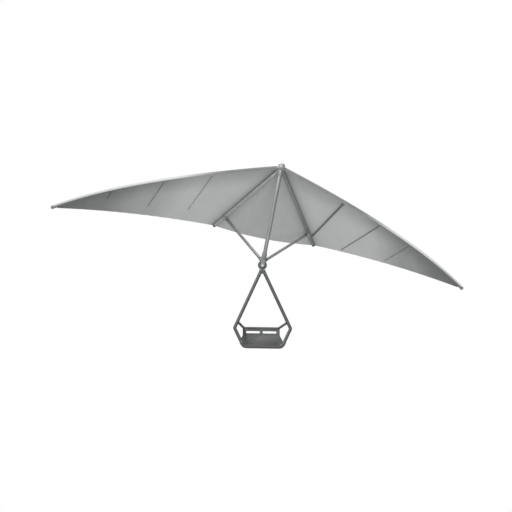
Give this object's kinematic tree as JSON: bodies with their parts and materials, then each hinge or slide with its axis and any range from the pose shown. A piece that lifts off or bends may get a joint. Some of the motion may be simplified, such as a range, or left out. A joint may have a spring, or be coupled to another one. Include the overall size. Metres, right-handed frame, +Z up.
{
  "type": "hang glider",
  "caption": "Swept fabric wing on leading edge and keel tubes, with a centre tube and struts down to a hub from which a framed bucket seat hangs and swings.",
  "frame": {"origin": "middle of the roll pin in the hub, where the seat's link hangs from the wing", "axes": "+Z up, nose towards -Y, +X to the rider's left, and the roll pin lies in the Y-Z plane"},
  "size_m": [8.1575, 2.6649, 3.2926],
  "materials": {
    "tube": "satin anodised",
    "bright": "fine machined",
    "edge": "moulded, satin",
    "dark": "moulded, matt",
    "sail": "tightly woven sailcloth",
    "link": "dark satin paint",
    "frame": "dark grey satin powder coat",
    "seat": "grained moulded sheet"
  },
  "bodies": {
    "wing": {"nose_fitting": "tube", "nose_cap": "bright", "leading_edge_left": "tube", "leading_edge_right": "tube", "tip_cap_left": "edge", "tip_cap_right": "edge", "keel_left": "tube", "keel_right": "tube", "keel_plug_left": "dark", "keel_plug_right": "dark", "centre_tube": "tube", "strut_left": "tube", "strut_right": "tube", "strut_clamp_left": "bright", "strut_clamp_right": "bright", "batten_left_1": "dark", "batten_left_2": "dark", "batten_left_3": "dark", "batten_right_1": "dark", "batten_right_2": "dark", "batten_right_3": "dark", "sail_left": "sail", "sail_centre": "sail", "sail_right": "sail", "hub_collar": "bright", "roll_pin": "tube"},
    "link": {"hang_link": "link"},
    "seat": {"fork_head": "frame", "cross_pin": "tube", "leg_left": "frame", "leg_right": "frame", "base_bar": "frame", "arm_left": "frame", "arm_right": "frame", "back_rail": "frame", "seat_panel": "seat"}
  },
  "joints": [
    {"name": "seat_sway", "type": "hinge", "parent": "wing", "child": "link", "pos_m": [0, 0, 0], "axis": [0, 0.9574, 0.2889], "range_deg": [-25, 45]},
    {"name": "seat_swing", "type": "hinge", "parent": "link", "child": "seat", "pos_m": [0, 0.03033, -0.10052], "axis": [1, 0, 0], "range_deg": [-35, 35]}
  ]
}
